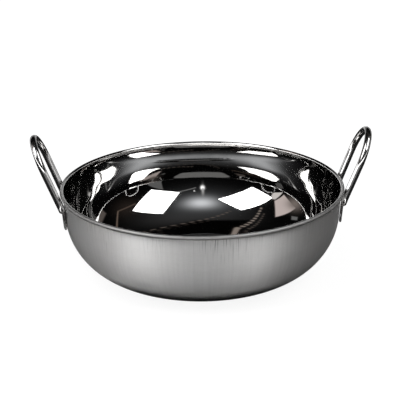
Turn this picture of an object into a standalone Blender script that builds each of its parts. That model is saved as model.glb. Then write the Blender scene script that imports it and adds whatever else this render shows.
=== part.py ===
"""A deep frying pan in stainless steel, round-sided, with two upright loop handles of bent wire.

The pan is pressed from one sheet: a flat base with a short cone round it, a large round corner, a short
and almost upright wall, a lip that curves out a little, and a rim that is rolled outward into a bead. Each handle is one length of
round wire, bent into a tall loop that leans away from the pan and rests against the bead. Its two feet
are pressed flat, run down the wall, and are spot-welded there, each on its own weld.

Units are metres. +Z is up, and the origin is the middle of the base, on the surface that the pan stands
on. The handles lie on the X axis.
"""

import math

import bmesh
import bpy
from mathutils import Vector

# Pan, outside sizes
RIM_RADIUS = 0.1300
PAN_HEIGHT = 0.0818
CORNER_RADIUS = 0.0600
BASE_BEND = 0.0080
BASE_RISE = math.radians(20)
WALL_FLARE = math.radians(3.2)
LIP_BOTTOM = 0.0715
LIP_FLARE = math.radians(9.0)
SHEET = 0.0012
BEAD = 0.0036

# Handle loops, measured on the middle of the wire and up the plane of the loop from its bend
WIRE = 0.0064
HANDLE_LEAN = math.radians(21.4)
BEND_HALF_WIDTH = 0.0215
LOOP_HALF_WIDTH = 0.0228
LEG_LENGTH = 0.0412
CROWN_HEIGHT = 0.0268
BEND_REACH = 0.0010

# Pressed feet of the handles
FOOT_LENGTH = 0.0154
FOOT_TILT = math.radians(5.0)
FOOT_WIDTH = 0.0100
FOOT_THICK = 0.0024
FOOT_END_ROUND = 0.0008
KNEE = 0.0024
TAPER = 0.0060

# Spot welds, measured from the end of the foot to the middle of the weld
WELD_SETBACK = 0.0049
WELD_WIDTH = 0.0108
WELD_TALL = 0.0054
WELD_THICK = 0.0006
DENT_RADIUS = 0.0026
DENT_DEPTH = 0.0006

# Clearance between pieces that touch
GAP = 0.0003

# Fineness of the round shapes
PAN_SIDES = 80
BEND_STEPS = 3
CORNER_STEPS = 12
LIP_STEPS = 3
BEAD_STEPS = 10
WIRE_SIDES = 16
CROWN_STEPS = 10
WELD_SIDES = 20

# Powers of the wire's section, an oval with squarer corners where it is pressed
ROUND = 2.0
PRESSED = 3.4

TANGENT_STEP = 0.0001


def blend(start, end, value):
    """0 before start, 1 after end, and a smooth rise between them."""
    share = min(max((value - start) / (end - start), 0.0), 1.0)
    return share * share * (3.0 - 2.0 * share)


# Pan

def bead_centre():
    """Radius and height of the middle of the bead."""
    return RIM_RADIUS - BEAD / 2, PAN_HEIGHT - BEAD / 2


def lip_curve():
    """Radius of the curve, seen in section, by which the lip leaves the wall."""
    rise = bead_centre()[1] - LIP_BOTTOM
    return rise / (math.sin(LIP_FLARE) - math.sin(WALL_FLARE))


def lip_reach():
    """Distance by which the lip goes out from its bottom to the bead."""
    return lip_curve() * (math.cos(WALL_FLARE) - math.cos(LIP_FLARE))


def wall_radius(z):
    """Outside radius of the straight wall at a height, carried on above and below it."""
    radius_at_bead = RIM_RADIUS - BEAD + SHEET / math.cos(LIP_FLARE)
    return radius_at_bead - lip_reach() + (z - LIP_BOTTOM) * math.tan(WALL_FLARE)


def wall_foot():
    """Radius and height where the round corner runs into the wall."""
    z = CORNER_RADIUS * (1 - math.sin(WALL_FLARE))
    return wall_radius(z), z


def corner_centre():
    """Radius of the ring on which the middle of the round corner's section lies."""
    return wall_foot()[0] - CORNER_RADIUS * math.cos(WALL_FLARE)


def base_radius():
    """Radius of the flat base. A tight bend and a short cone lead from it to the round corner."""
    cone_top = corner_centre() + CORNER_RADIUS * math.sin(BASE_RISE)
    cone_rise = (CORNER_RADIUS - BASE_BEND) * (1 - math.cos(BASE_RISE))
    return cone_top - cone_rise / math.tan(BASE_RISE) - BASE_BEND * math.sin(BASE_RISE)


def lower_profile(depth):
    """Profile of the base's edge, the cone and the round corner, at a depth in the sheet."""
    bend = [BASE_RISE * step / BEND_STEPS for step in range(BEND_STEPS + 1)]
    turn = math.pi / 2 - WALL_FLARE - BASE_RISE
    corner = [BASE_RISE + turn * step / CORNER_STEPS for step in range(CORNER_STEPS + 1)]
    points = []
    for middle, radius, angles in ((base_radius(), BASE_BEND, bend), (corner_centre(), CORNER_RADIUS, corner)):
        for angle in angles:
            out = middle + (radius - depth) * math.sin(angle)
            points.append((out, radius - (radius - depth) * math.cos(angle)))
    return points


def lip(depth):
    """Profile of the lip at a depth in the sheet, from the wall up to the bead."""
    points = []
    for step in range(LIP_STEPS + 1):
        flare = WALL_FLARE + (LIP_FLARE - WALL_FLARE) * step / LIP_STEPS
        out = lip_curve() * (math.cos(WALL_FLARE) - math.cos(flare))
        rise = lip_curve() * (math.sin(flare) - math.sin(WALL_FLARE))
        points.append((
            wall_radius(LIP_BOTTOM) + out - depth * math.cos(flare),
            LIP_BOTTOM + rise + depth * math.sin(flare),
        ))
    return points


def bead():
    """Profile of the bead, from its inner side over the top and round underneath to the lip."""
    centre_r, centre_z = bead_centre()
    start, end = math.pi, -math.acos((SHEET - BEAD / 2) / (BEAD / 2))
    angles = [start + (end - start) * step / BEAD_STEPS for step in range(BEAD_STEPS + 1)]
    return [
        (centre_r + BEAD / 2 * math.cos(angle), centre_z + BEAD / 2 * math.sin(angle))
        for angle in angles
    ]


def pan_profile():
    """Section of the sheet from the base's outer edge, up outside, over the bead and down inside."""
    outside = lower_profile(0.0) + lip(0.0)[:-1]
    inside = lip(SHEET)[:-1][::-1] + lower_profile(SHEET)[::-1]
    return outside + bead()[::-1] + inside


def revolve(profile, sides):
    """Closed round body of a section whose first and last points are the edges of flat discs."""
    bm = bmesh.new()
    rings = []
    for radius, z in profile:
        angles = [2 * math.pi * side / sides for side in range(sides)]
        rings.append([bm.verts.new((radius * math.cos(a), radius * math.sin(a), z)) for a in angles])
    skin(bm, rings)
    return bm


def skin(bm, rings):
    """Joins rings of vertices with faces, and closes the first and the last with a flat face."""
    for lower, upper in zip(rings, rings[1:]):
        for side in range(len(lower)):
            after = (side + 1) % len(lower)
            bm.faces.new((lower[side], lower[after], upper[after], upper[side]))
    bm.faces.new(rings[0][::-1])
    bm.faces.new(rings[-1])


# Handle

def foot_offset():
    """Distance from the pan to the middle of a pressed foot, at its weld."""
    return GAP + FOOT_THICK / 2


def bend():
    """Radius and height where the foot, which touches the corner at its weld, meets the leg, which
    rests on the bead."""
    clear = WIRE / 2 + BEAD / 2 + GAP
    centre_r, centre_z = bead_centre()
    touch_r = centre_r + clear * math.cos(HANDLE_LEAN)
    touch_z = centre_z - clear * math.sin(HANDLE_LEAN)
    weld_r = corner_centre() + CORNER_RADIUS * math.cos(FOOT_TILT)
    weld_z = CORNER_RADIUS * (1 - math.sin(FOOT_TILT))
    foot_r = weld_r + foot_offset() / math.cos(FOOT_TILT) + (touch_z - weld_z) * math.tan(FOOT_TILT)
    closing = math.sin(HANDLE_LEAN) - math.cos(HANDLE_LEAN) * math.tan(FOOT_TILT)
    down = (touch_r - foot_r) / closing
    return touch_r - down * math.sin(HANDLE_LEAN), touch_z - down * math.cos(HANDLE_LEAN)


def bend_point():
    """The bend of the leg on the +Y side of the handle on +X."""
    radius, z = bend()
    return Vector((math.sqrt(radius ** 2 - BEND_HALF_WIDTH ** 2), BEND_HALF_WIDTH, z))


def foot_frame():
    """Direction up the foot and direction out of the wall there."""
    turn = math.asin(BEND_HALF_WIDTH / bend()[0])
    out = Vector((math.cos(turn), math.sin(turn), 0))
    up = Vector((0, 0, 1))
    along = out * math.sin(FOOT_TILT) + up * math.cos(FOOT_TILT)
    away = out * math.cos(FOOT_TILT) - up * math.sin(FOOT_TILT)
    return along, away


def in_loop(half_width, rise):
    """Point of the loop's plane at a distance from its middle and a distance above the bend."""
    corner_point = bend_point()
    return Vector((
        corner_point.x + rise * math.sin(HANDLE_LEAN),
        half_width,
        corner_point.z + rise * math.cos(HANDLE_LEAN),
    ))


def leg_direction():
    return (in_loop(LOOP_HALF_WIDTH, LEG_LENGTH) - bend_point()).normalized()


def leg_point(distance):
    """Middle of the wire at a distance from the bend, less than zero down the foot."""
    point = bend_point()
    foot_up = foot_frame()[0]
    if distance <= -BEND_REACH:
        return point + foot_up * distance
    if distance >= BEND_REACH:
        return point + leg_direction() * distance
    share = (distance + BEND_REACH) / (2 * BEND_REACH)
    start = point - foot_up * BEND_REACH
    end = point + leg_direction() * BEND_REACH
    return start * (1 - share) ** 2 + point * 2 * share * (1 - share) + end * share ** 2


def wall_distance(point):
    """Distance from a point beside the wall to its outside."""
    return (math.hypot(point.x, point.y) - wall_radius(point.z)) * math.cos(WALL_FLARE)


def weld_middle():
    """Distance of the middle of the weld from the bend, down the foot."""
    return WELD_SETBACK - FOOT_LENGTH


def foot_rings():
    """Distances from the bend at which the pressed foot and the bend have a ring of points."""
    middle = weld_middle()
    slot = WELD_TALL / 2 + GAP
    ends = [-FOOT_LENGTH, -FOOT_LENGTH + FOOT_END_ROUND]
    weld = [middle - slot - GAP, middle - slot]
    weld += [middle + DENT_RADIUS * share for share in (-0.7, -0.35, 0, 0.35, 0.7)]
    weld += [middle + slot, middle + slot + GAP]
    knee = [KNEE * share for share in (-0.4, -0.2, 0.0, 0.2, 0.4, 0.6, 0.8, 1.0)]
    taper = [KNEE + TAPER * share for share in (0.33, 0.66, 1.0)]
    return sorted(ends + weld + knee + taper)


def section(distance, point):
    """Section of the leg at a distance from the bend: points as (across, out of the wall)."""
    pressed = 1 - blend(0.0, KNEE + TAPER, distance)
    half_width = WIRE / 2 + (FOOT_WIDTH - WIRE) / 2 * pressed
    power = ROUND + (PRESSED - ROUND) * pressed
    front = FOOT_THICK / 2 + (WIRE - FOOT_THICK) / 2 * blend(0.0, KNEE, distance)
    back = min(WIRE / 2, max(wall_distance(point) - GAP, FOOT_THICK / 2))
    rounding = 1 - blend(-FOOT_LENGTH, -FOOT_LENGTH + FOOT_END_ROUND, distance)
    inset = FOOT_END_ROUND * rounding
    from_weld = abs(distance - weld_middle())
    if from_weld < WELD_TALL / 2 + 1.5 * GAP:
        back = FOOT_THICK / 2 - GAP - WELD_THICK
    points = []
    for side in range(WIRE_SIDES):
        angle = 2 * math.pi * side / WIRE_SIDES
        cosine, sine = math.cos(angle), math.sin(angle)
        across = math.copysign(abs(cosine) ** (2 / power), cosine) * (half_width - inset)
        reach = front if sine > 0 else back
        out = math.copysign(abs(sine) ** (2 / power), sine) * (reach - inset)
        dent = DENT_DEPTH * max(0.0, 1 - math.hypot(across, from_weld) ** 2 / DENT_RADIUS ** 2)
        points.append((across, out - dent if sine > 0 else out))
    return points


def ring(point, direction, away, points):
    """A section set square to the wire at a point, with one side turned away from the pan."""
    across = away.cross(direction).normalized()
    out = direction.cross(across).normalized()
    return [point + across * a + out * b for a, b in points]


def half_handle():
    """Rings of the wire from the end of one foot to the top of the crown."""
    foot_away = foot_frame()[1]
    plane_away = Vector((math.cos(HANDLE_LEAN), 0, -math.sin(HANDLE_LEAN)))
    rings = []
    for distance in foot_rings() + [LEG_LENGTH / 2]:
        point = leg_point(distance)
        direction = leg_point(distance + TANGENT_STEP) - leg_point(distance - TANGENT_STEP)
        turned = blend(KNEE + TAPER, LEG_LENGTH, distance)
        away = foot_away.lerp(plane_away, turned)
        rings.append(ring(point, direction, away, section(distance, point)))
    circle = [2 * math.pi * side / WIRE_SIDES for side in range(WIRE_SIDES)]
    round_wire = [(math.cos(a) * WIRE / 2, math.sin(a) * WIRE / 2) for a in circle]
    for number in range(CROWN_STEPS + 1):
        angle = math.pi / 2 * number / CROWN_STEPS
        half_width = LOOP_HALF_WIDTH * math.cos(angle)
        point = in_loop(half_width, LEG_LENGTH + CROWN_HEIGHT * math.sin(angle))
        ahead = in_loop(
            half_width - LOOP_HALF_WIDTH * math.sin(angle),
            LEG_LENGTH + CROWN_HEIGHT * (math.sin(angle) + math.cos(angle)),
        )
        rings.append(ring(point, ahead - point, plane_away, round_wire))
    return rings


def handle_mesh():
    """The whole wire of the handle on +X: one half, and its mirror image over the crown."""
    half = half_handle()
    other = [[Vector((p.x, -p.y, p.z)) for p in points] for points in reversed(half[:-1])]
    bm = bmesh.new()
    skin(bm, [[bm.verts.new(p) for p in points] for points in half + other])
    return bm


# Welds

def weld_mesh():
    """One spot weld, a thin oval with a rounded edge, that lies in the slot across a foot's back."""
    along, away = foot_frame()
    across = along.cross(away).normalized()
    on_wall = leg_point(weld_middle()) - away * (foot_offset() - GAP)
    edge = WELD_THICK / 4
    layers = [(0.0, edge), (edge, 0.0), (WELD_THICK - edge, 0.0), (WELD_THICK, edge)]
    bm = bmesh.new()
    rings = []
    for height, inset in layers:
        points = []
        for side in range(WELD_SIDES):
            angle = 2 * math.pi * side / WELD_SIDES
            a = math.cos(angle) * (WELD_WIDTH / 2 - inset)
            t = math.sin(angle) * (WELD_TALL / 2 - inset)
            points.append(bm.verts.new(on_wall + away * height + across * a + along * t))
        rings.append(points)
    skin(bm, rings)
    return bm


# Objects

def steel(name, colour, roughness):
    material = bpy.data.materials.new(name)
    material.use_nodes = True
    shader = material.node_tree.nodes["Principled BSDF"]
    shader.inputs["Base Color"].default_value = (*colour, 1)
    shader.inputs["Metallic"].default_value = 1.0
    shader.inputs["Roughness"].default_value = roughness
    return material


def finish_mesh(name, bm, sharp_angle):
    mesh = bpy.data.meshes.new(name)
    bm.to_mesh(mesh)
    bm.free()
    mesh.shade_smooth()
    mesh.set_sharp_from_angle(angle=sharp_angle)
    return mesh


def mirrored(mesh, name, flip_x, flip_y):
    """A copy of a mesh on the other side of the pan, of the handle, or of both."""
    bm = bmesh.new()
    bm.from_mesh(mesh)
    for vert in bm.verts:
        vert.co.x *= -1 if flip_x else 1
        vert.co.y *= -1 if flip_y else 1
    if flip_x != flip_y:
        bmesh.ops.reverse_faces(bm, faces=bm.faces)
    return finish_mesh(name, bm, math.radians(40))


def add(name, mesh, material):
    if not mesh.materials:
        mesh.materials.append(material)
    obj = bpy.data.objects.new(name, mesh)
    bpy.context.scene.collection.objects.link(obj)
    return obj


def main():
    for obj in list(bpy.data.objects):
        bpy.data.objects.remove(obj, do_unlink=True)

    pan_steel = steel("pan_steel", (0.56, 0.56, 0.55), 0.28)
    wire_steel = steel("wire_steel", (0.62, 0.61, 0.60), 0.12)
    weld_steel = steel("weld_steel", (0.36, 0.33, 0.30), 0.42)

    add("bowl", finish_mesh("bowl", revolve(pan_profile(), PAN_SIDES), math.radians(50)), pan_steel)

    handle = finish_mesh("handle_right", handle_mesh(), math.radians(40))
    add("handle_right", handle, wire_steel)
    add("handle_left", mirrored(handle, "handle_left", True, False), wire_steel)

    weld = finish_mesh("weld", weld_mesh(), math.radians(40))
    for side, flip_x in (("right", False), ("left", True)):
        for end, flip_y in (("back", False), ("front", True)):
            name = "weld_" + side + "_" + end
            add(name, mirrored(weld, name, flip_x, flip_y), weld_steel)


main()
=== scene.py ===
"""Looks of the deep two-handled frying pan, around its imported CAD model.

The pressed pan and the two wire handles are made again here with the sizes of the CAD, but finer, because
polished steel shows every flat face. The steel's finishes are node materials. The studio that the polished
inside mirrors is drawn in the world, on a map of the directions above the pan.

Units are metres. +Z is up, and the camera looks along +Y.
"""

import math

import bpy
from mathutils import Matrix, Vector


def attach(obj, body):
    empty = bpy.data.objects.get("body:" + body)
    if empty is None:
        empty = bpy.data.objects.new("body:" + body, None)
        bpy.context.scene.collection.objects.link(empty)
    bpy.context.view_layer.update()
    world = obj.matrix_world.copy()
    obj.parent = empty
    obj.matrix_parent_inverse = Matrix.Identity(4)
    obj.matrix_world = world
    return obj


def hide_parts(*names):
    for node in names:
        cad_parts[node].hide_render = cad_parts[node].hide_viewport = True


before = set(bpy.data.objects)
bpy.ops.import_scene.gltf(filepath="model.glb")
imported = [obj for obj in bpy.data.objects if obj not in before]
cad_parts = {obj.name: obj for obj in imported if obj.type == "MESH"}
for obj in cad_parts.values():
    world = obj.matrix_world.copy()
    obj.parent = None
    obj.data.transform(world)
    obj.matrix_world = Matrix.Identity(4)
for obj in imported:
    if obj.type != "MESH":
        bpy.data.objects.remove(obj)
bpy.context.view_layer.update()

# Pan, the sizes of the CAD
RIM_RADIUS = 0.1300
PAN_HEIGHT = 0.0818
CORNER_RADIUS = 0.0600
BASE_BEND = 0.0080
BASE_RISE = math.radians(20)
WALL_FLARE = math.radians(3.2)
LIP_BOTTOM = 0.0715
LIP_FLARE = math.radians(9.0)
SHEET = 0.0012
BEAD = 0.0036

# Tilt of the inside of the wall from upright, uneven as pressed: height, and tilt in degrees
INSIDE_TILTS = [
    (0.042, 17.8), (0.047, 11.5), (0.051, 8.7), (0.055, 6.7), (0.059, 4.0), (0.063, 2.6), (0.067, 1.6),
    (0.071, 2.0), (0.075, 4.2), (0.080, 8.4),
]

# Faint pleats in the inside of the wall: depth, height over which they lean by one radian, the waves that
# they are made of, each a count round the pan, a lean and a share of the depth, and their top
PLEAT = 0.000035
PLEAT_LEAN = 0.007
PLEAT_WAVES = [(27, 1.0, 1.0), (43, -1.7, 0.8), (61, 1.3, 0.6)]
PLEAT_TOP = 0.080

# One shallow crease in the far part of the inside: depth, half width, height where it's lowest, the angle
# about the pan there and the angle that it spans, both in degrees, and its rise over that span
CREASE = 0.00010
CREASE_WIDTH = 0.0008
CREASE_HEIGHT = 0.0631
CREASE_ANGLE = 91.0
CREASE_SPAN = 25.0
CREASE_RISE = 0.0027

# Handles and feet, the sizes of the CAD
WIRE = 0.0064
HANDLE_LEAN = math.radians(21.4)
BEND_HALF_WIDTH = 0.0215
LOOP_HALF_WIDTH = 0.0228
LEG_LENGTH = 0.0412
CROWN_HEIGHT = 0.0268
BEND_REACH = 0.0010
FOOT_LENGTH = 0.0154
FOOT_TILT = math.radians(5.0)
FOOT_WIDTH = 0.0100
FOOT_THICK = 0.0024
FOOT_END_ROUND = 0.0008
KNEE = 0.0024
TAPER = 0.0060
WELD_SETBACK = 0.0049
WELD_TALL = 0.0054
WELD_THICK = 0.0006
DENT_RADIUS = 0.0026
DENT_DEPTH = 0.0006
GAP = 0.0003
ROUND = 2.0
PRESSED = 3.4
TANGENT_STEP = 0.0001

# Height of the groove between the bead and the wall, as the outside shows it, and where the painted shade
# under the bead starts
GROOVE = 0.0780

# Heights between which the outside grows from smooth to fully ground
SMOOTH_BASE = (0.006, 0.025)

# Dark runs under the groove: the angle about the pan where they crowd, and the heights between which they
# grow from nothing to full
RUNS_ANGLE = math.radians(-84)
RUNS_HEIGHTS = (0.062, 0.084)

# Heights on the wire: its dull pressed part ends in the first stretch, and the painted shade at its bend,
# where the leg meets the foot, starts in the second and ends in the third
DULL_END = (0.0660, 0.0700)
DARK_START = (0.0575, 0.0610)
DARK_END = (0.0675, 0.0700)

# Where round the bead the polish of the inside starts, up from outward
POLISH_START = math.radians(60)

# Inside of the pan: bottom of the uneven wall, rise of the cone and size of the tight bend at its foot
INSIDE_BOTTOM = 0.0420
INSIDE_RISE = math.radians(22.5)
TIGHT_BEND = 0.0001

# Numbers of the pan's materials
SATIN, ROLLED, POLISHED = range(3)

# Fineness
PAN_SIDES = 480
BASE_SHARES = (0.02, 0.1, 0.25, 0.4, 0.6, 0.8)
BEND_STEPS = 10
CORNER_STEPS = 44
WALL_STEPS = 30
LIP_STEPS = 16
INSIDE_STEPS = 150
FINE_STEPS = 8
CONE_STEPS = 8
BEAD_STEPS = 24
JOIN_ROOM = 0.0002
WIRE_SIDES = 32
DENT_STEPS = 6
FOOT_STEP = 0.0015
KNEE_STEPS = 8
CROWN_STEPS = 28

# Faces that meet at more than this angle show an edge
SHARP = math.radians(50)

# Camera: the point it turns about, its distance and angles, and its lens
CAMERA_TARGET = Vector((-0.001927, 0.0, 0.066104))
CAMERA_DISTANCE = 1.1855
CAMERA_ELEVATION = math.radians(20.334)
CAMERA_ROLL = math.radians(-0.663)
STUDIO_TURN = math.radians(-2.72)
LENS = 115.87
SENSOR = 36.0

# Studio lamps: middle, direction across, direction up, width, height, radiance
SOFTBOXES = {
    "softbox_right": (
        (0.752, -0.439, 0.965), (-0.1328, -0.8408, -0.5248), (0.9422, 0.0572, -0.3301), 0.960, 0.631, 5.4,
    ),
    "softbox_left": (
        (-0.766, -0.515, 0.916), (-0.4654, 0.8078, 0.3617), (-0.7965, -0.204, -0.5692), 0.605, 0.905, 7.1,
    ),
}

# Light of the whole room on dull surfaces
ROOM_LIGHT = 0.5

# Table: half its side, its height, just under the pan, and the distances from the pan's axis between which
# the shadow fades and the painted patch of light in front of the pan, seen only in the steel, starts
TABLE_REACH = 4.0
TABLE_LEVEL = -0.0002
SHADOW_FADE = (0.14, 0.50)
PATCH_START = (0.114, 0.160)

studio = Matrix.Rotation(STUDIO_TURN, 4, "Z")


# Node trees

class Graph:
    """A node tree built with short calls. An input is a number, a tuple or another node's output."""

    def __init__(self, tree):
        self.nodes, self.links = tree.nodes, tree.links
        self.nodes.clear()

    def put(self, socket, value):
        if isinstance(value, bpy.types.NodeSocket):
            self.links.new(value, socket)
        else:
            socket.default_value = value

    def node(self, kind, inputs=None, **settings):
        made = self.nodes.new("ShaderNode" + kind)
        for name, value in settings.items():
            setattr(made, name, value)
        for name, value in (inputs or {}).items():
            self.put(made.inputs[name], value)
        return made

    def math(self, operation, *values):
        made = self.node("Math", dict(enumerate(values)), operation=operation)
        return made.outputs[0]

    def vector(self, operation, *values):
        made = self.node("VectorMath", dict(enumerate(values)), operation=operation)
        return made.outputs["Value" if operation in ("DOT_PRODUCT", "LENGTH") else "Vector"]

    def place(self):
        """Where a point lies in its object, which is in the part's own frame."""
        return self.node("TexCoord").outputs["Object"]

    def split(self, vector):
        return self.node("SeparateXYZ", {0: vector}).outputs

    def from_axis(self, x, y):
        """Distance from the Z axis."""
        squares = [self.math("MULTIPLY", value, value) for value in (x, y)]
        return self.math("SQRT", self.math("ADD", *squares))

    def rays(self):
        """1 for camera rays, and 1 for rays that a surface mirrors or lets through."""
        light = self.node("LightPath")
        mirrored = self.math("MAXIMUM", light.outputs["Is Glossy Ray"], light.outputs["Is Transmission Ray"])
        return light.outputs["Is Camera Ray"], mirrored

    def ramp(self, value, low, high, to_low=0.0, to_high=1.0):
        """A smooth step from to_low at low to to_high at high."""
        inputs = {"Value": value, "From Min": low, "From Max": high, "To Min": to_low, "To Max": to_high}
        return self.node("MapRange", inputs, interpolation_type="SMOOTHSTEP").outputs["Result"]

    def mix(self, share, first, second):
        inputs = {"Factor": share, 6: first, 7: second}
        return self.node("Mix", inputs, data_type="RGBA").outputs[2]

    def noise(self, vector, scale, detail=2.0):
        inputs = {"Vector": vector, "Scale": scale, "Detail": detail}
        return self.node("TexNoise", inputs).outputs["Fac"]

    def bump(self, height, distance, strength=1.0):
        inputs = {"Height": height, "Distance": distance, "Strength": strength}
        return self.node("Bump", inputs).outputs["Normal"]


def grey(value):
    return (value, value, value, 1)


# Studio, as the polished steel sees it

def sky_map(g):
    """Place of a direction on the map, as (degrees to +X, degrees toward the camera, 1), both from straight
    overhead, and its angle from overhead in degrees."""
    direction = g.node("TexCoord").outputs["Generated"]
    inputs = {"Vector": direction, "Angle": -STUDIO_TURN}
    turned = g.node("VectorRotate", inputs, rotation_type="Z_AXIS").outputs[0]
    x, y, z = g.split(turned)
    from_top = g.math("MULTIPLY", g.math("ARCCOSINE", z), math.degrees(1))
    level = g.math("MAXIMUM", g.from_axis(x, y), 1e-4)
    scale = g.math("DIVIDE", from_top, level)
    across = g.math("MULTIPLY", x, scale)
    toward = g.math("MULTIPLY", y, g.math("MULTIPLY", scale, -1.0))
    place = g.node("CombineXYZ", {0: across, 1: toward, 2: 1.0}).outputs[0]
    return place, from_top


def panel(g, place, corners, soft):
    """1 inside a panel with straight sides on the map, and 0 outside."""
    middle = (sum(x for x, y in corners) / len(corners), sum(y for x, y in corners) / len(corners))
    inside = None
    for (x0, y0), (x1, y1) in zip(corners, corners[1:] + corners[:1]):
        length = math.hypot(x1 - x0, y1 - y0)
        a, b = (y0 - y1) / length, (x1 - x0) / length
        c = -(a * x0 + b * y0)
        if a * middle[0] + b * middle[1] + c < 0:
            a, b, c = -a, -b, -c
        depth = g.vector("DOT_PRODUCT", place, (a, b, c))
        inside = depth if inside is None else g.math("MINIMUM", inside, depth)
    return g.ramp(inside, -soft, soft)


def stroke(start, end, width):
    """Corners of a straight beam on the map."""
    x0, y0 = start
    x1, y1 = end
    length = math.hypot(x1 - x0, y1 - y0)
    a, b = (y0 - y1) / length * width / 2, (x1 - x0) / length * width / 2
    return [(x0 + a, y0 + b), (x1 + a, y1 + b), (x1 - a, y1 - b), (x0 - a, y0 - b)]


def spot(g, place, middle, reach_x, reach_y):
    """A round glow on the map that fades as a bell does."""
    offset = g.vector("SUBTRACT", place, (middle[0], middle[1], 1.0))
    scaled = g.vector("DIVIDE", offset, (reach_x, reach_y, 1.0))
    distance = g.vector("LENGTH", scaled)
    return g.math("EXPONENT", g.math("MULTIPLY", g.math("MULTIPLY", distance, distance), -1.0))


# Glows on the map behind the panels: middle, reach across and toward the camera, colour
GLOWS_BEHIND = [
    ((54.0, 6.0), 13.0, 15.0, (0.024, 0.018, 0.015)),
    ((9.0, -3.0), 26.0, 17.0, (0.034, 0.034, 0.034)),
    ((0.5, 27.0), 26.0, 24.0, (0.095, 0.098, 0.103)),
    ((0.5, 29.5), 10.8, 10.5, (0.96, 0.99, 1.03)),
]

# Glows before the panels: the shaded edge of the pale wall, the small lamp and the streak under it
GLOWS_BEFORE = [
    ((-70.0, -7.0), 9.0, 11.0, (0.26, 0.22, 0.20)),
    ((-0.7, 60.0), 1.6, 3.2, (4.0, 4.0, 4.0)),
    ((-0.9, 55.0), 1.2, 9.0, (0.6, 0.6, 0.6)),
]

# Dark panel between the beams of the ceiling frame, like those of PANELS
DARK_CEILING = ([(24, -37), (2, -9), (-24, -9), (-4, -37)], (0.001, 0.001, 0.001), 3.0)

# Panels: corners, colour, softness of the edge
PANELS = [
    # Pale wall and the bright strip beside it
    ([(-66, -12), (-42, -9), (-58, 14), (-73, 13)], (0.80, 0.69, 0.66), 0.8),
    ([(-60, 15.5), (-57, 20), (-66, 26), (-75, 16.5)], (0.9, 0.85, 0.82), 0.8),
    # Grey board
    ([(38, 50), (58, 50), (64, 55), (49, 67)], (0.15, 0.15, 0.15), 0.8),
    # Two edges of the dark wall
    (stroke((40, -28), (58, -5), 1.2), (0.20, 0.15, 0.12), 0.7),
    (stroke((58, -5), (52, 16), 1.4), (0.13, 0.095, 0.075), 1.0),
    # Dim board and small grey board, low at the two sides
    ([(54, -36), (64, -36), (74, -20), (64, -18)], (0.13, 0.11, 0.10), 1.5),
    ([(-57, -23), (-53, -26), (-50, -21), (-54, -17)], (0.20, 0.20, 0.20), 0.8),
    # Arm of the small lamp and a glint under it
    (stroke((6, 60), (22, 50), 1.4), (0.25, 0.25, 0.25), 0.6),
    (stroke((7, 52), (7.5, 55), 1.2), (0.9, 0.9, 0.9), 0.5),
]

# Beams of the ceiling frame: start, end, width, brightness of the bars and their spacing
BEAMS = [
    ((24, -36), (-17, 11), 1.8, 0.13, 4.6),
    ((19, -35), (-13, 1), 1.2, 0.04, 3.9),
    ((-8.5, -29.6), (-41, 11), 2.0, 0.34, 5.2),
    ((-12, -31), (-38, 1), 1.4, 0.10, 4.3),
]

# Colour of the bars at full brightness
BAR_TINT = (1.0, 0.84, 0.74)

# Backdrop behind the pan: where it starts and is full, in degrees from overhead and away from the camera
BACKDROP_EDGES = ((66.0, 67.5), (54.0, 58.0))
BACKDROP = 0.30

# Bright room low round the pan: where it starts and is full, in degrees from overhead, its brightness all
# round, and its brighter sides, each a direction on the map, the stretch over which it brightens, and light
ROOM_EDGE = (82.5, 84.5)
ROOM_AROUND = 0.9
ROOM_SIDES = [
    ((-0.56, 0.83, 0.0), (-35.0, 65.0), 5.2),
    ((0.97, 0.24, 0.0), (50.0, 80.0), 1.4),
]


def beam(g, place, start, end, width, spacing):
    """1 in the bars of a beam and 0 between them."""
    inside = panel(g, place, stroke(start, end, width), 0.5)
    length = math.hypot(end[0] - start[0], end[1] - start[1])
    turns = 2 * math.pi / spacing / length
    along = g.vector("DOT_PRODUCT", place, ((end[0] - start[0]) * turns, (end[1] - start[1]) * turns, 0.0))
    return g.math("MULTIPLY", inside, g.ramp(g.math("SINE", along), -0.7, 0.5))


def make_world():
    world = bpy.data.worlds.new("studio")
    bpy.context.scene.world = world
    world.use_nodes = True
    g = Graph(world.node_tree)
    place, from_top = sky_map(g)
    colour = grey(0.002)
    for middle, reach_x, reach_y, shade in GLOWS_BEHIND:
        colour = g.mix(spot(g, place, middle, reach_x, reach_y), colour, (*shade, 1))
    corners, shade, soft = DARK_CEILING
    colour = g.mix(panel(g, place, corners, soft), colour, (*shade, 1))
    for start, end, width, brightness, spacing in BEAMS:
        bars = beam(g, place, start, end, width, spacing)
        colour = g.mix(bars, colour, (*(brightness * part for part in BAR_TINT), 1))
    for corners, shade, soft in PANELS:
        colour = g.mix(panel(g, place, corners, soft), colour, (*shade, 1))
    for middle, reach_x, reach_y, shade in GLOWS_BEFORE:
        colour = g.mix(spot(g, place, middle, reach_x, reach_y), colour, (*shade, 1))

    away = g.vector("DOT_PRODUCT", place, (0.0, -1.0, 0.0))
    low_edge, far_edge = BACKDROP_EDGES
    backdrop = g.math("MULTIPLY", g.ramp(from_top, *low_edge), g.ramp(away, *far_edge))
    colour = g.mix(backdrop, colour, grey(BACKDROP))
    low = g.ramp(from_top, *ROOM_EDGE)
    colour = g.mix(low, colour, grey(ROOM_AROUND))
    for direction, stretch, brightness in ROOM_SIDES:
        toward = g.vector("DOT_PRODUCT", place, direction)
        colour = g.mix(g.math("MULTIPLY", low, g.ramp(toward, *stretch)), colour, grey(brightness))

    camera, mirrored = g.rays()
    colour = g.mix(mirrored, grey(ROOM_LIGHT), colour)
    colour = g.mix(camera, colour, grey(1.0))
    background = g.node("Background", {"Color": colour, "Strength": 1.0})
    output = g.node("OutputWorld")
    g.links.new(background.outputs[0], output.inputs["Surface"])


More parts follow.
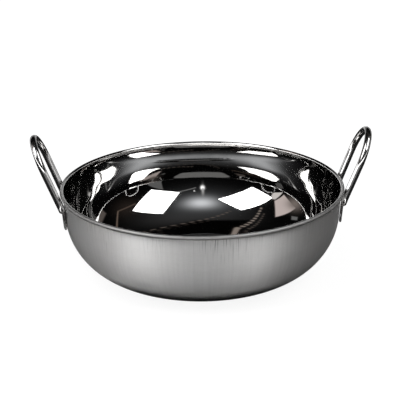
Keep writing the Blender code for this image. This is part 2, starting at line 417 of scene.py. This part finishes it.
def make_softboxes():
    for name, (middle, across, up, width, height, radiance) in SOFTBOXES.items():
        light = bpy.data.lights.new(name, "AREA")
        light.shape = "RECTANGLE"
        light.size, light.size_y = width, height
        light.energy = radiance * math.pi * width * height
        obj = bpy.data.objects.new(name, light)
        bpy.context.scene.collection.objects.link(obj)
        across, up = Vector(across).normalized(), Vector(up).normalized()
        columns = Matrix((across, up, across.cross(up))).transposed().to_4x4()
        columns.translation = Vector(middle)
        obj.matrix_world = studio @ columns
        obj.visible_camera = False


def make_camera():
    camera = bpy.data.cameras.new("camera")
    camera.sensor_width = SENSOR
    camera.lens = LENS
    obj = bpy.data.objects.new("camera", camera)
    bpy.context.scene.collection.objects.link(obj)
    bpy.context.scene.camera = obj
    ahead = Vector((0, math.cos(CAMERA_ELEVATION), -math.sin(CAMERA_ELEVATION)))
    rolled = Matrix.Rotation(CAMERA_ROLL, 3, -ahead)
    right = rolled @ Vector((1, 0, 0))
    up = rolled @ Vector((1, 0, 0)).cross(ahead)
    columns = Matrix((right, up, -ahead)).transposed().to_4x4()
    columns.translation = CAMERA_TARGET - ahead * CAMERA_DISTANCE
    obj.matrix_world = studio @ columns


# Meshes

def blend(start, end, value):
    """0 before start, 1 after end, and a smooth rise between them."""
    share = min(max((value - start) / (end - start), 0.0), 1.0)
    return share * share * (3.0 - 2.0 * share)


def bead_centre():
    """Radius and height of the middle of the bead."""
    return RIM_RADIUS - BEAD / 2, PAN_HEIGHT - BEAD / 2


def lip_curve():
    """Radius of the curve, seen in section, by which the lip leaves the wall."""
    rise = bead_centre()[1] - LIP_BOTTOM
    return rise / (math.sin(LIP_FLARE) - math.sin(WALL_FLARE))


def wall_radius(z):
    """Outside radius of the straight wall at a height, carried on above and below it."""
    lip_reach = lip_curve() * (math.cos(WALL_FLARE) - math.cos(LIP_FLARE))
    radius_at_bead = RIM_RADIUS - BEAD + SHEET / math.cos(LIP_FLARE)
    return radius_at_bead - lip_reach + (z - LIP_BOTTOM) * math.tan(WALL_FLARE)


def lip():
    """Outside of the lip, from the wall up to the bead."""
    points = []
    for step in range(LIP_STEPS + 1):
        flare = WALL_FLARE + (LIP_FLARE - WALL_FLARE) * step / LIP_STEPS
        out = lip_curve() * (math.cos(WALL_FLARE) - math.cos(flare))
        rise = lip_curve() * (math.sin(flare) - math.sin(WALL_FLARE))
        points.append((wall_radius(LIP_BOTTOM) + out, LIP_BOTTOM + rise))
    return points


def corner_centre():
    """Radius of the ring on which the middle of the round corner's section lies."""
    foot = CORNER_RADIUS * (1 - math.sin(WALL_FLARE))
    return wall_radius(foot) - CORNER_RADIUS * math.cos(WALL_FLARE)


def base_radius():
    """Radius of the flat base. A tight bend and a short cone lead from it to the round corner."""
    cone_top = corner_centre() + CORNER_RADIUS * math.sin(BASE_RISE)
    cone_rise = (CORNER_RADIUS - BASE_BEND) * (1 - math.cos(BASE_RISE))
    return cone_top - cone_rise / math.tan(BASE_RISE) - BASE_BEND * math.sin(BASE_RISE)


def lower_profile(depth):
    """One side of the sheet at a depth in it, from the middle of the base to the top of the corner."""
    points = [(base_radius() * share, depth) for share in BASE_SHARES]
    bend = [BASE_RISE * step / BEND_STEPS for step in range(BEND_STEPS + 1)]
    turn = math.pi / 2 - WALL_FLARE - BASE_RISE
    corner = [BASE_RISE + turn * step / CORNER_STEPS for step in range(CORNER_STEPS + 1)]
    arcs = [(base_radius(), BASE_BEND, bend), (corner_centre(), CORNER_RADIUS, corner)]
    for middle, radius, angles in arcs:
        for angle in angles:
            out = middle + (radius - depth) * math.sin(angle)
            points.append((out, radius - (radius - depth) * math.cos(angle)))
    return points


def corner_inside(z):
    """Radius of the inside of the round corner at a height."""
    return corner_centre() + math.sqrt((CORNER_RADIUS - SHEET) ** 2 - (CORNER_RADIUS - z) ** 2)


def inside_tilt(z):
    """Tilt of the inside from upright at a height, on a smooth curve through the measured ones."""
    last = len(INSIDE_TILTS) - 2
    number = max(k for k in range(last + 1) if k == 0 or INSIDE_TILTS[k][0] <= z)
    (z0, t0), (z1, t1) = INSIDE_TILTS[number], INSIDE_TILTS[number + 1]
    before, after = INSIDE_TILTS[max(number - 1, 0)], INSIDE_TILTS[min(number + 2, last + 1)]
    slope0 = (t1 - before[1]) / (z1 - before[0]) * (z1 - z0)
    slope1 = (after[1] - t0) / (after[0] - z0) * (z1 - z0)
    share = (z - z0) / (z1 - z0)
    rest = 1 - share
    return math.radians(
        t0 * (1 + 2 * share) * rest ** 2 + slope0 * share * rest ** 2
        + t1 * (3 - 2 * share) * share ** 2 - slope1 * rest * share ** 2
    )


def inside_wall():
    """Points of the inside from under the bead down to where the round corner is plain."""
    radius, z = bead_centre()
    radius -= BEAD / 2
    points = []
    step = (z - INSIDE_BOTTOM) / INSIDE_STEPS
    fine = step / FINE_STEPS
    for _ in range(INSIDE_STEPS):
        for _ in range(FINE_STEPS):
            radius -= math.tan(inside_tilt(z - fine / 2)) * fine
            z -= fine
        points.append((radius, z))
    return points


def inside_floor():
    """Points of the inside from the middle of the base, over a tight bend and a cone, to the top of the
    round corner."""
    inner = CORNER_RADIUS - SHEET
    turn = math.pi / 2 - WALL_FLARE - INSIDE_RISE
    angles = [INSIDE_RISE + turn * step / CORNER_STEPS for step in range(CORNER_STEPS + 1)]
    corner = [(corner_centre() + inner * math.sin(a), CORNER_RADIUS - inner * math.cos(a)) for a in angles]
    top_r, top_z = corner[0]
    bend_r = top_r - (top_z - SHEET) / math.tan(INSIDE_RISE)
    points = [(bend_r * share, SHEET) for share in (*BASE_SHARES, 0.9, 0.97)]
    points += [(bend_r - 4 * TIGHT_BEND, SHEET), (bend_r - TIGHT_BEND, SHEET)]
    reach = top_r - bend_r
    cone = [reach * step / CONE_STEPS for step in range(1, CONE_STEPS)]
    for out in [TIGHT_BEND, 4 * TIGHT_BEND] + cone:
        points.append((bend_r + out, SHEET + out * math.tan(INSIDE_RISE)))
    return points + corner


def between(start, end, steps):
    """Points between two points of the profile, without either."""
    return [
        (start[0] + (end[0] - start[0]) * step / steps, start[1] + (end[1] - start[1]) * step / steps)
        for step in range(1, steps)
    ]


def pan_profile():
    """Points of the section from the middle of the base outside, over the bead, to the middle inside, and
    the finish of the face that follows each of them."""
    centre_r, centre_z = bead_centre()
    start, end = -math.acos((SHEET - BEAD / 2) / (BEAD / 2)), math.pi
    angles = [start + (end - start) * step / BEAD_STEPS for step in range(BEAD_STEPS)]
    bead = [(centre_r + BEAD / 2 * math.cos(a), centre_z + BEAD / 2 * math.sin(a)) for a in angles]

    outside = lower_profile(0.0)
    outside += between(outside[-1], lip()[0], WALL_STEPS) + lip()
    outside = [(r, z) for r, z in outside if z < bead[0][1] - JOIN_ROOM]

    wall = inside_wall()
    shift = wall[-1][0] - corner_inside(wall[-1][1])
    corner = [(r, z) for r, z in inside_floor() if z < INSIDE_BOTTOM - JOIN_ROOM]
    corner = [(r + shift * blend(0.0, base_radius(), r), z) for r, z in corner]
    inside = [(centre_r - BEAD / 2, centre_z)] + wall + corner[::-1]

    polished = sum(1 for angle in angles if angle > POLISH_START)
    finishes = [SATIN] * (len(outside) - 1) + [ROLLED] * (len(bead) - polished + 1)
    finishes += [POLISHED] * (polished + len(inside))
    return outside + bead + inside, finishes


def skin(rings):
    """Faces that join rings of the same number of vertices, and after them the two that close the ends."""
    sides = len(rings[0])
    faces = []
    for row in range(len(rings) - 1):
        for side in range(sides):
            after = (side + 1) % sides
            faces.append((
                row * sides + side, row * sides + after,
                (row + 1) * sides + after, (row + 1) * sides + side,
            ))
    last = (len(rings) - 1) * sides
    faces.append(tuple(range(sides))[::-1])
    faces.append(tuple(last + side for side in range(sides)))
    return faces


def add(name, rings, materials, finishes=None):
    """An object from rings of points. Finishes numbers a material for the faces that follow each ring."""
    mesh = bpy.data.meshes.new(name)
    mesh.from_pydata([tuple(p) for points in rings for p in points], [], skin(rings))
    for material in materials:
        mesh.materials.append(material)
    if finishes:
        rows = [finish for finish in finishes[:-1] for _ in rings[0]]
        mesh.polygons.foreach_set("material_index", rows + [finishes[0], finishes[-1]])
    mesh.shade_smooth()
    mesh.set_sharp_from_angle(angle=SHARP)
    obj = bpy.data.objects.new(name, mesh)
    bpy.context.scene.collection.objects.link(obj)
    return obj


def pleat(angle, z):
    """Depth of the faint pleats that pressing leaves round the inside of the wall, deepest at the sides."""
    height = z / PLEAT_LEAN
    waves = sum(share * math.sin(count * angle + lean * height) for count, lean, share in PLEAT_WAVES)
    side = 0.05 + 0.95 * math.cos(angle) ** 6
    return PLEAT * waves * side * blend(0.030, 0.050, z) * (1 - blend(0.076, PLEAT_TOP, z))


def crease(angle, z):
    """Depth of the one shallow crease across the far part of the inside."""
    turned = (math.degrees(angle) - CREASE_ANGLE) / CREASE_SPAN
    middle = CREASE_HEIGHT + CREASE_RISE * turned ** 2
    span = blend(-0.8, -0.2, turned) * (1 - blend(0.20, 0.85, turned))
    return CREASE * span * math.exp(-((z - middle) / CREASE_WIDTH) ** 2)


def make_pan(materials):
    profile, finishes = pan_profile()
    rings = []
    for (radius, z), finish in zip(profile, finishes):
        uneven = finish == POLISHED and z < PLEAT_TOP
        points = []
        for side in range(PAN_SIDES):
            angle = 2 * math.pi * side / PAN_SIDES
            reach = radius + (pleat(angle, z) + crease(angle, z) if uneven else 0.0)
            points.append((reach * math.cos(angle), reach * math.sin(angle), z))
        rings.append(points)
    pan = add("pan_sheet", rings, materials, finishes)
    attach(pan, "root")
    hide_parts("bowl")


# Handles, on the CAD's line

def foot_offset():
    """Distance from the pan to the middle of a pressed foot, at its weld."""
    return GAP + FOOT_THICK / 2


def bend():
    """Radius and height where the foot, which touches the corner at its weld, meets the leg, which
    rests on the bead."""
    clear = WIRE / 2 + BEAD / 2 + GAP
    centre_r, centre_z = bead_centre()
    touch_r = centre_r + clear * math.cos(HANDLE_LEAN)
    touch_z = centre_z - clear * math.sin(HANDLE_LEAN)
    weld_r = corner_centre() + CORNER_RADIUS * math.cos(FOOT_TILT)
    weld_z = CORNER_RADIUS * (1 - math.sin(FOOT_TILT))
    foot_r = weld_r + foot_offset() / math.cos(FOOT_TILT) + (touch_z - weld_z) * math.tan(FOOT_TILT)
    closing = math.sin(HANDLE_LEAN) - math.cos(HANDLE_LEAN) * math.tan(FOOT_TILT)
    down = (touch_r - foot_r) / closing
    return touch_r - down * math.sin(HANDLE_LEAN), touch_z - down * math.cos(HANDLE_LEAN)


def bend_point():
    radius, z = bend()
    return Vector((math.sqrt(radius ** 2 - BEND_HALF_WIDTH ** 2), BEND_HALF_WIDTH, z))


def foot_frame():
    """Direction up the foot and direction out of the wall there."""
    turn = math.asin(BEND_HALF_WIDTH / bend()[0])
    out = Vector((math.cos(turn), math.sin(turn), 0))
    up = Vector((0, 0, 1))
    along = out * math.sin(FOOT_TILT) + up * math.cos(FOOT_TILT)
    away = out * math.cos(FOOT_TILT) - up * math.sin(FOOT_TILT)
    return along, away


def in_loop(half_width, rise):
    """Point of the loop's plane at a distance from its middle and a distance above the bend."""
    corner_point = bend_point()
    return Vector((
        corner_point.x + rise * math.sin(HANDLE_LEAN),
        half_width,
        corner_point.z + rise * math.cos(HANDLE_LEAN),
    ))


def leg_point(distance):
    """Middle of the wire at a distance from the bend, less than zero down the foot."""
    point = bend_point()
    foot_up = foot_frame()[0]
    leg_up = (in_loop(LOOP_HALF_WIDTH, LEG_LENGTH) - point).normalized()
    if distance <= -BEND_REACH:
        return point + foot_up * distance
    if distance >= BEND_REACH:
        return point + leg_up * distance
    share = (distance + BEND_REACH) / (2 * BEND_REACH)
    start, end = point - foot_up * BEND_REACH, point + leg_up * BEND_REACH
    return start * (1 - share) ** 2 + point * 2 * share * (1 - share) + end * share ** 2


def foot_rings():
    """Distances from the bend at which the pressed foot, the bend and the lower leg have a ring of points."""
    middle = WELD_SETBACK - FOOT_LENGTH
    slot = WELD_TALL / 2 + GAP
    ends = [-FOOT_LENGTH + FOOT_END_ROUND * share for share in (0, 0.25, 0.6, 1)]
    weld = [middle - slot - GAP, middle - slot, middle + slot, middle + slot + GAP]
    weld += [middle + DENT_RADIUS * step / DENT_STEPS for step in range(-DENT_STEPS, DENT_STEPS + 1)]
    foot = [middle + slot + FOOT_STEP * step for step in range(1, 5)]
    knee = [KNEE * step / KNEE_STEPS for step in range(-3, KNEE_STEPS + 1)]
    taper = [KNEE + TAPER * step / KNEE_STEPS for step in range(1, KNEE_STEPS + 1)]
    leg = [LEG_LENGTH * share for share in (0.35, 0.5, 0.65, 0.8, 0.9)]
    return sorted(ends + weld + foot + knee + taper + leg)


def section(distance, point):
    """Section of the leg at a distance from the bend: points as (across, out of the wall)."""
    pressed = 1 - blend(0.0, KNEE + TAPER, distance)
    half_width = WIRE / 2 + (FOOT_WIDTH - WIRE) / 2 * pressed
    power = ROUND + (PRESSED - ROUND) * pressed
    front = FOOT_THICK / 2 + (WIRE - FOOT_THICK) / 2 * blend(0.0, KNEE, distance)
    from_wall = (math.hypot(point.x, point.y) - wall_radius(point.z)) * math.cos(WALL_FLARE)
    back = min(WIRE / 2, max(from_wall - GAP, FOOT_THICK / 2))
    inset = FOOT_END_ROUND * (1 - blend(-FOOT_LENGTH, -FOOT_LENGTH + FOOT_END_ROUND, distance))
    from_weld = abs(distance - (WELD_SETBACK - FOOT_LENGTH))
    if from_weld < WELD_TALL / 2 + 1.5 * GAP:
        back = FOOT_THICK / 2 - GAP - WELD_THICK
    points = []
    for side in range(WIRE_SIDES):
        angle = 2 * math.pi * side / WIRE_SIDES
        cosine, sine = math.cos(angle), math.sin(angle)
        across = math.copysign(abs(cosine) ** (2 / power), cosine) * (half_width - inset)
        out = math.copysign(abs(sine) ** (2 / power), sine) * ((front if sine > 0 else back) - inset)
        dent = DENT_DEPTH * max(0.0, 1 - math.hypot(across, from_weld) ** 2 / DENT_RADIUS ** 2)
        points.append((across, out - dent if sine > 0 else out))
    return points


def ring(point, direction, away, points):
    """A section set square to the wire at a point, with one side turned away from the pan."""
    across = away.cross(direction).normalized()
    out = direction.cross(across).normalized()
    return [point + across * a + out * b for a, b in points]


def half_handle():
    """Rings of the wire from the end of one foot to the top of the crown."""
    foot_away = foot_frame()[1]
    plane_away = Vector((math.cos(HANDLE_LEAN), 0, -math.sin(HANDLE_LEAN)))
    rings = []
    for distance in foot_rings():
        point = leg_point(distance)
        direction = leg_point(distance + TANGENT_STEP) - leg_point(distance - TANGENT_STEP)
        away = foot_away.lerp(plane_away, blend(KNEE + TAPER, LEG_LENGTH, distance))
        rings.append(ring(point, direction, away, section(distance, point)))
    circle = [2 * math.pi * side / WIRE_SIDES for side in range(WIRE_SIDES)]
    round_wire = [(math.cos(a) * WIRE / 2, math.sin(a) * WIRE / 2) for a in circle]
    for number in range(CROWN_STEPS + 1):
        angle = math.pi / 2 * number / CROWN_STEPS
        half_width = LOOP_HALF_WIDTH * math.cos(angle)
        point = in_loop(half_width, LEG_LENGTH + CROWN_HEIGHT * math.sin(angle))
        ahead = in_loop(
            half_width - LOOP_HALF_WIDTH * math.sin(angle),
            LEG_LENGTH + CROWN_HEIGHT * (math.sin(angle) + math.cos(angle)),
        )
        rings.append(ring(point, ahead - point, plane_away, round_wire))
    return rings


def make_handles(material):
    half = half_handle()
    other = [[Vector((p.x, -p.y, p.z)) for p in points] for points in reversed(half[:-1])]
    right = half + other
    left = [[Vector((-p.x, p.y, p.z)) for p in reversed(points)] for points in right]
    for side, rings in (("right", right), ("left", left)):
        loop = add("loop_" + side, rings, [material])
        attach(loop, "root")
        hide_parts("handle_" + side)


# Finishes

def material(name):
    made = bpy.data.materials.new(name)
    made.use_nodes = True
    return made, Graph(made.node_tree)


def close(g, shader):
    output = g.node("OutputMaterial")
    g.links.new(shader.outputs[0], output.inputs["Surface"])


def mirror_steel():
    """Polished inside: faint turned lines and a little unevenness in the polish."""
    made, g = material("polished_steel")
    place = g.place()
    x, y, z = g.split(place)
    along = g.node("CombineXYZ", {0: g.from_axis(x, y), 1: z}).outputs[0]
    lines = g.noise(along, 900.0, 3.0)
    clouds = g.noise(place, 35.0, 3.0)
    rough = g.ramp(clouds, 0.3, 0.75, 0.025, 0.05)
    tone = g.mix(clouds, (0.585, 0.578, 0.570, 1), (0.625, 0.620, 0.612, 1))
    shader = g.node("BsdfPrincipled", {
        "Base Color": tone, "Metallic": 1.0, "Roughness": rough, "Normal": g.bump(lines, 0.000002, 0.3),
    })
    close(g, shader)
    return made


def bead_steel():
    """Rolled bead, a little darker than the wall under it and uneven from the rolling."""
    made, g = material("bead_steel")
    clouds = g.noise(g.place(), 240.0, 3.0)
    rough = g.ramp(clouds, 0.3, 0.7, 0.50, 0.62)
    tone = g.mix(clouds, (0.23, 0.227, 0.223, 1), (0.38, 0.376, 0.372, 1))
    shader = g.node("BsdfPrincipled", {
        "Base Color": tone, "Metallic": 1.0, "Roughness": rough, "Normal": g.bump(clouds, 0.00006, 0.4),
    })
    close(g, shader)
    return made


def satin_steel():
    """Outside, ground on the lathe: fine lines round the pan, soft streaks down the wall, and a finish that
    grows smoother, with less grain, toward the base."""
    made, g = material("satin_steel")
    x, y, z = g.split(g.place())
    turn = g.math("ARCTAN2", y, x)
    along = {0: g.math("MULTIPLY", turn, 0.02), 1: z, 2: g.from_axis(x, y)}
    round_lines = g.node("CombineXYZ", along).outputs[0]
    lines = g.noise(round_lines, 1800.0, 3.0)
    bands = g.noise(round_lines, 160.0, 2.0)
    down = {0: g.math("MULTIPLY", turn, 0.13), 1: g.math("MULTIPLY", z, 0.04)}
    streaks = g.noise(g.node("CombineXYZ", down).outputs[0], 420.0, 3.0)
    tone = g.mix(lines, (0.62, 0.615, 0.61, 1), (0.70, 0.695, 0.69, 1))
    tone = g.mix(g.ramp(streaks, 0.25, 0.75, 0.0, 0.16), tone, (0.42, 0.415, 0.41, 1))

    # Thin dark runs down from the groove under the bead, most of them near the front
    down = {0: g.math("MULTIPLY", turn, 0.13), 1: g.math("MULTIPLY", z, 0.02)}
    thin = g.node("CombineXYZ", down).outputs[0]
    runs = g.ramp(g.noise(thin, 1500.0, 1.0), 0.57, 0.68)
    patches = g.ramp(g.noise(thin, 45.0, 1.0), 0.45, 0.62, 0.12, 0.5)
    from_front = g.math("ABSOLUTE", g.math("SUBTRACT", turn, RUNS_ANGLE))
    front = g.ramp(from_front, 0.10, 0.26, 0.95, 0.0)
    depth = g.math("ADD", z, g.math("MULTIPLY", g.noise(thin, 300.0, 1.0), 0.02))
    share = g.math("MULTIPLY", g.math("MAXIMUM", patches, front), g.ramp(depth, *RUNS_HEIGHTS))
    tone = g.mix(g.math("MULTIPLY", runs, share), tone, grey(0.24))
    # Painted shade: the outside darkens toward the groove under the bead
    tone = g.mix(g.ramp(z, GROOVE - 0.0007, GROOVE, 0.0, 0.42), tone, grey(0.18))
    rough = g.ramp(bands, 0.3, 0.7, 0.52, 0.58)
    rough = g.math("MULTIPLY", rough, g.ramp(z, *SMOOTH_BASE, 0.40, 1.0))
    grain = g.ramp(z, *SMOOTH_BASE, 0.20, 0.85)
    tangent = g.node("Tangent", direction_type="RADIAL", axis="Z").outputs[0]
    shader = g.node("BsdfPrincipled", {
        "Base Color": tone, "Metallic": 1.0, "Roughness": rough,
        "Anisotropic": grain, "Anisotropic Rotation": 0.25,
        "Tangent": tangent, "Normal": g.bump(lines, 0.00001, 0.4),
    })
    close(g, shader)
    return made


def wire_steel():
    """Bright drawn wire, dull where it's pressed flat, with painted shade at the bend where the leg meets the
    foot.
    """
    made, g = material("bright_wire")
    place = g.place()
    height = g.split(place)[2]
    stretched = g.vector("MULTIPLY", place, (1.0, 1.0, 0.08))
    lines = g.noise(stretched, 1400.0, 3.0)
    clouds = g.noise(place, 90.0, 3.0)
    rough = g.ramp(clouds, 0.3, 0.7, 0.10, 0.16)
    tone = g.mix(clouds, (0.38, 0.376, 0.372, 1), (0.46, 0.456, 0.452, 1))
    pressed = g.ramp(height, *DULL_END, 1.0, 0.0)
    rough = g.math("ADD", rough, g.math("MULTIPLY", pressed, 0.30))
    # Painted shade: the wire is darkened round the bend between the leg and the foot
    knee_shade = g.math("MULTIPLY", g.ramp(height, *DARK_START), g.ramp(height, *DARK_END, 1.0, 0.0))
    tone = g.mix(g.math("MULTIPLY", knee_shade, 0.85), tone, (0.050, 0.045, 0.042, 1))
    shader = g.node("BsdfPrincipled", {
        "Base Color": tone, "Metallic": 1.0, "Roughness": rough, "Normal": g.bump(lines, 0.000006, 0.35),
    })
    close(g, shader)
    return made


def weld_steel():
    """Spot weld, tinted straw and blue by its heat."""
    made, g = material("heat_tinted_weld")
    clouds = g.noise(g.place(), 420.0, 3.0)
    tone = g.mix(g.ramp(clouds, 0.3, 0.55), (0.40, 0.33, 0.24, 1), (0.24, 0.24, 0.27, 1))
    rough = g.ramp(clouds, 0.3, 0.7, 0.30, 0.5)
    shader = g.node("BsdfPrincipled", {
        "Base Color": tone, "Metallic": 1.0, "Roughness": rough, "Normal": g.bump(clouds, 0.00008, 0.5),
    })
    close(g, shader)
    return made


def white_floor():
    """White table, with the pan's shadow on it. It lights dull surfaces as paper does, and the steel mirrors
    it dark, apart from a painted patch of light close in front of the pan that only the steel shows."""
    made, g = material("white_table")
    x, y = g.split(g.node("NewGeometry").outputs["Position"])[:2]
    radius = g.from_axis(x, y)
    camera, mirrored = g.rays()
    # Painted light: a paler patch on the table in front of the pan, only in the rays that the steel mirrors
    front = g.ramp(g.math("DIVIDE", y, radius), -0.96, -0.76, 1.0, 0.0)
    pale = g.math("MULTIPLY", front, g.ramp(radius, *PATCH_START))
    tone = g.mix(mirrored, grey(0.74), g.mix(pale, grey(0.02), grey(0.25)))
    tone = g.mix(camera, tone, grey(0.12))
    paper = g.node("BsdfDiffuse", {"Color": tone})
    lift = g.math("MULTIPLY", g.ramp(radius, *SHADOW_FADE, 0.90, 1.0), camera)
    shine = g.node("Emission", {"Color": grey(1.0), "Strength": lift})
    both = g.node("AddShader")
    g.links.new(paper.outputs[0], both.inputs[0])
    g.links.new(shine.outputs[0], both.inputs[1])
    close(g, both)
    return made


def tint_welds(tint):
    """Gives the welds, which are the solids of the CAD, their finish."""
    for side in ("left", "right"):
        for end in ("back", "front"):
            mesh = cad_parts[f"weld_{side}_{end}"].data
            mesh.materials.clear()
            mesh.materials.append(tint)


def make_floor():
    mesh = bpy.data.meshes.new("floor")
    signs = [(-1, -1), (1, -1), (1, 1), (-1, 1)]
    corners = [(TABLE_REACH * a, TABLE_REACH * b, TABLE_LEVEL) for a, b in signs]
    mesh.from_pydata(corners, [], [(0, 1, 2, 3)])
    mesh.materials.append(white_floor())
    obj = bpy.data.objects.new("floor", mesh)
    bpy.context.scene.collection.objects.link(obj)


bpy.context.scene.view_settings.view_transform = "Standard"
make_camera()
make_softboxes()
make_world()
make_floor()
make_pan([satin_steel(), bead_steel(), mirror_steel()])
make_handles(wire_steel())
tint_welds(weld_steel())
